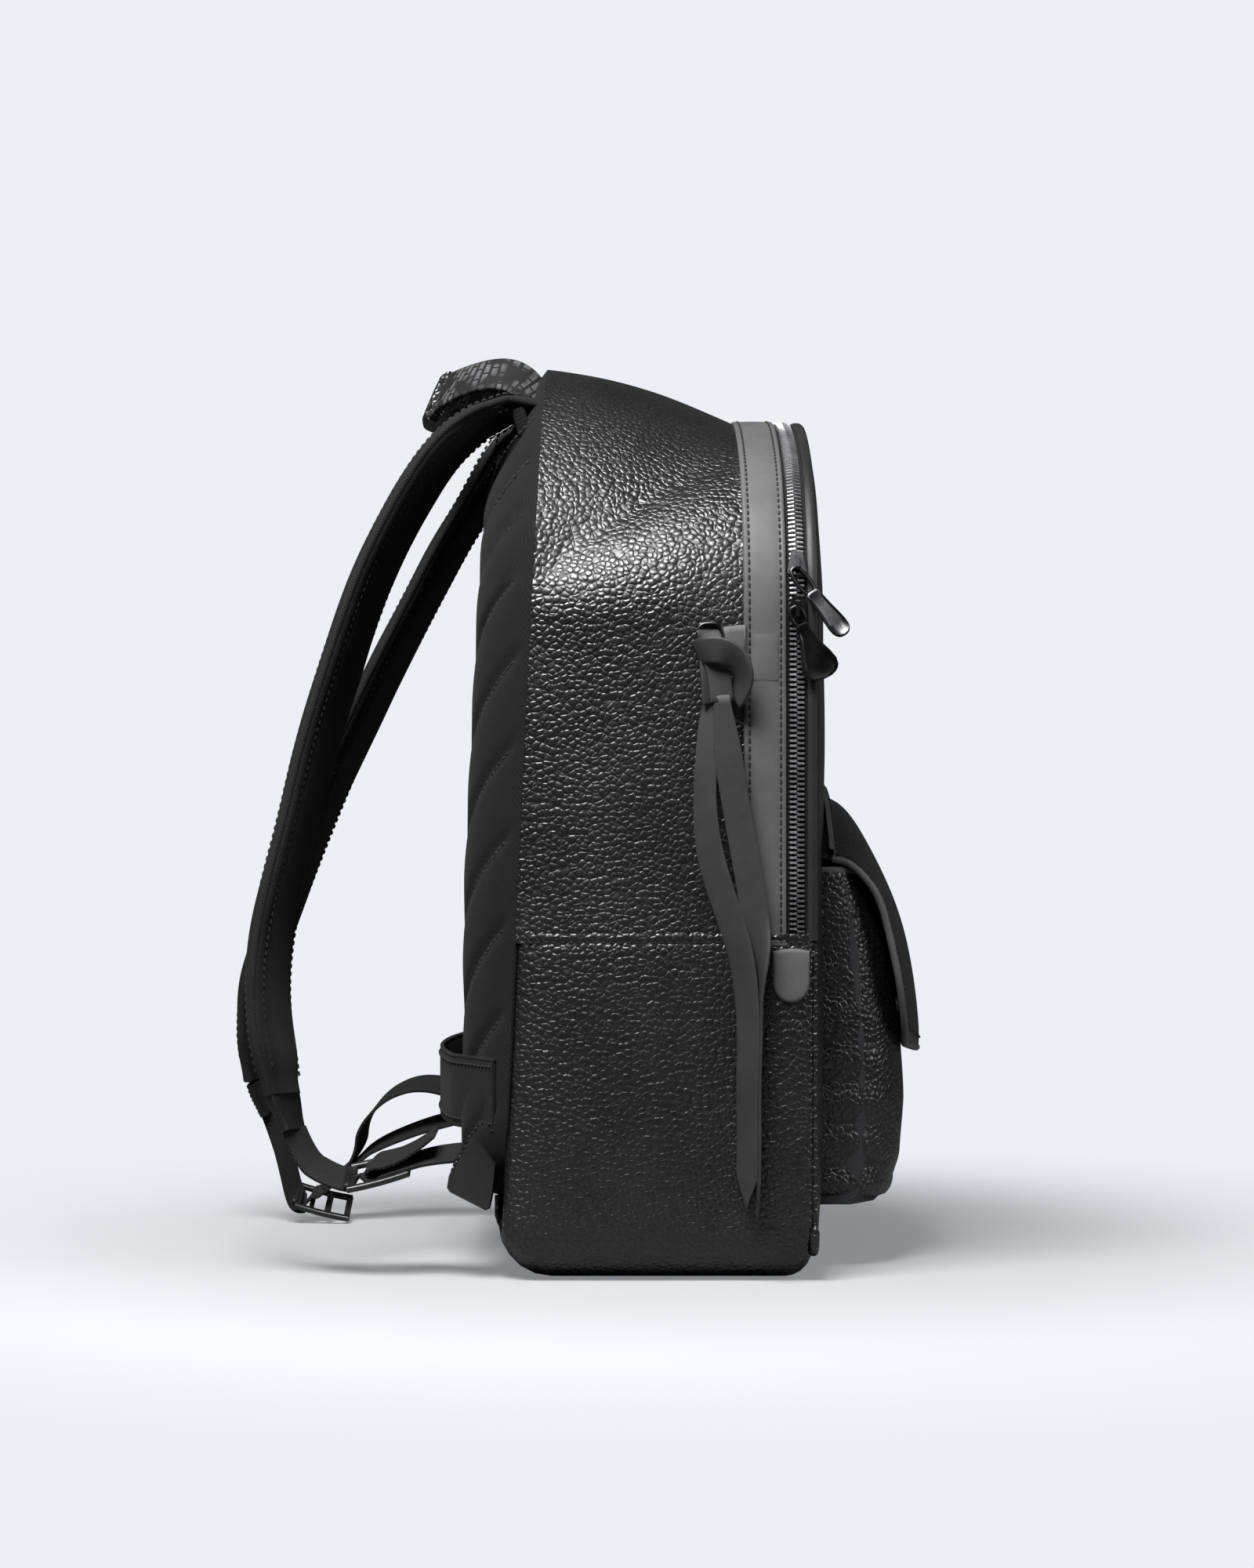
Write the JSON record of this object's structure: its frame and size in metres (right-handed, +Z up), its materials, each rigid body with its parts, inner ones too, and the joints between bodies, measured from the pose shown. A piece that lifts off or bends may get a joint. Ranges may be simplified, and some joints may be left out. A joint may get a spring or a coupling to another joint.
{
  "type": "leather backpack",
  "caption": "Upright leather backpack with an arched zip opening, a flap pocket, padded straps, a top handle and side laces.",
  "frame": {"origin": "middle of the base, on the surface it stands on", "axes": "+Z up, +X across the bag to the wearer's right, -Y to the front pocket, +Y to the wearer's back"},
  "size_m": [0.299, 0.3341, 0.4256],
  "materials": {
    "pebbled_leather": "glossy pebbled grain",
    "smooth_leather": "satin smooth, painted edges",
    "lace_leather": "satin smooth",
    "zip_tape": "fine woven tape",
    "zip_metal": "gunmetal",
    "dark_metal": "dark satin",
    "snap_metal": "satin",
    "quilted_fabric": "fine woven, quilted",
    "strap_fabric": "fine woven",
    "webbing": "ribbed webbing",
    "handle_webbing": "patterned webbing",
    "lining_cloth": "plain lining",
    "foam": "closed-cell foam",
    "board": "stiffener sheet"
  },
  "bodies": {
    "bag": {"lower_wrap": "pebbled_leather", "base_board": "board", "gusset": "pebbled_leather", "trim_strip": "smooth_leather", "zip_tape_rear": "zip_tape", "zip_teeth_rear": "zip_metal", "zip_tape_front_lower": "zip_tape", "zip_teeth_front_lower": "zip_metal", "front_binding_lower": "smooth_leather", "front_piping": "smooth_leather", "front_panel_lower": "pebbled_leather", "zip_end_tabs": "smooth_leather", "back_board": "board", "back_foam": "foam", "back_panel_cover": "quilted_fabric", "anchor_tab_left": "smooth_leather", "anchor_tab_right": "smooth_leather", "trolley_band": "quilted_fabric", "lining": "lining_cloth", "laptop_sleeve": "lining_cloth", "pocket_body": "pebbled_leather", "pocket_lining": "lining_cloth", "flap_seam": "smooth_leather", "snap_socket": "snap_metal", "strap_yoke": "smooth_leather"},
    "front_panel": {"front_panel_upper": "pebbled_leather", "front_binding_upper": "smooth_leather", "zip_tape_front_upper": "zip_tape", "zip_teeth_front_upper": "zip_metal"},
    "pocket_flap": {"flap_outer": "pebbled_leather", "flap_lining": "smooth_leather", "snap_stud": "snap_metal"},
    "zip_slider_upper": {"zip_slider_upper": "zip_metal"},
    "zip_slider_lower": {"zip_slider_lower": "zip_metal"},
    "zip_pull_upper": {"zip_pull_upper": "zip_metal"},
    "zip_pull_lower": {"zip_pull_lower": "zip_metal"},
    "top_handle": {"handle_webbing": "handle_webbing", "handle_wrap": "smooth_leather"},
    "strap_left": {"strap_pad_left": "strap_fabric", "strap_tab_left": "smooth_leather", "strap_webbing_left": "webbing", "strap_adjuster_left": "webbing", "strap_tail_left": "webbing"},
    "buckle_left": {"strap_buckle_left": "dark_metal"},
    "lace_left": {"lace_tab_left": "smooth_leather", "d_ring_left": "dark_metal", "lace_knot_left": "lace_leather", "lace_tail_a_left": "lace_leather", "lace_tail_b_left": "lace_leather"},
    "strap_right": {"strap_pad_right": "strap_fabric", "strap_tab_right": "smooth_leather", "strap_webbing_right": "webbing", "strap_adjuster_right": "webbing", "strap_tail_right": "webbing"},
    "buckle_right": {"strap_buckle_right": "dark_metal"},
    "lace_right": {"lace_tab_right": "smooth_leather", "d_ring_right": "dark_metal", "lace_knot_right": "lace_leather", "lace_tail_a_right": "lace_leather", "lace_tail_b_right": "lace_leather"}
  },
  "joints": [
    {"name": "front_panel_fold", "type": "hinge", "parent": "bag", "child": "front_panel", "pos_m": [0, -0.0726, 0.228], "axis": [1, 0, 0], "range_deg": [0, 40]},
    {"name": "flap_lift", "type": "hinge", "parent": "bag", "child": "pocket_flap", "pos_m": [0, -0.074, 0.22], "axis": [-1, 0, 0], "range_deg": [0, 75]},
    {"name": "slider_upper_run", "type": "slide", "parent": "bag", "child": "zip_slider_upper", "axis": [0.2889, 0, 0.9574], "range_m": [0, 0.014]},
    {"name": "slider_lower_run", "type": "slide", "parent": "bag", "child": "zip_slider_lower", "axis": [0, 0, -1], "range_m": [0, 0.13]},
    {"name": "pull_upper_swing", "type": "hinge", "parent": "zip_slider_upper", "child": "zip_pull_upper", "pos_m": [-0.14004, -0.061, 0.31685], "axis": [-0.1698, 0.809, -0.5627], "range_deg": [0, 120]},
    {"name": "pull_lower_swing", "type": "hinge", "parent": "zip_slider_lower", "child": "zip_pull_lower", "pos_m": [-0.14405, -0.061, 0.296], "axis": [0, 0.809, -0.5878], "range_deg": [0, 75]},
    {"name": "handle_turn", "type": "hinge", "parent": "bag", "child": "top_handle", "pos_m": [0, 0.059, 0.407], "axis": [1, 0, 0], "range_deg": [0, 70]},
    {"name": "strap_left_swing", "type": "hinge", "parent": "bag", "child": "strap_left", "pos_m": [-0.133, 0.072, 0.05], "axis": [0.1579, -0.0115, 0.9874], "range_deg": [0, 30]},
    {"name": "strap_right_swing", "type": "hinge", "parent": "bag", "child": "strap_right", "pos_m": [0.133, 0.072, 0.05], "axis": [0.1579, 0.0115, -0.9874], "range_deg": [0, 30]},
    {"name": "buckle_left_tilt", "type": "hinge", "parent": "strap_left", "child": "buckle_left", "pos_m": [-0.1135, 0.138, 0.0424], "axis": [1, 0, 0], "range_deg": [0, 20]},
    {"name": "buckle_right_tilt", "type": "hinge", "parent": "strap_right", "child": "buckle_right", "pos_m": [0.107, 0.1806, 0.0123], "axis": [-1, 0, 0], "range_deg": [0, 12]},
    {"name": "lace_left_swing", "type": "hinge", "parent": "bag", "child": "lace_left", "pos_m": [-0.141, -0.044, 0.281], "axis": [0, 0, 1], "range_deg": [0, 30]},
    {"name": "lace_right_swing", "type": "hinge", "parent": "bag", "child": "lace_right", "pos_m": [0.141, -0.044, 0.281], "axis": [0, 0, -1], "range_deg": [0, 30]}
  ]
}
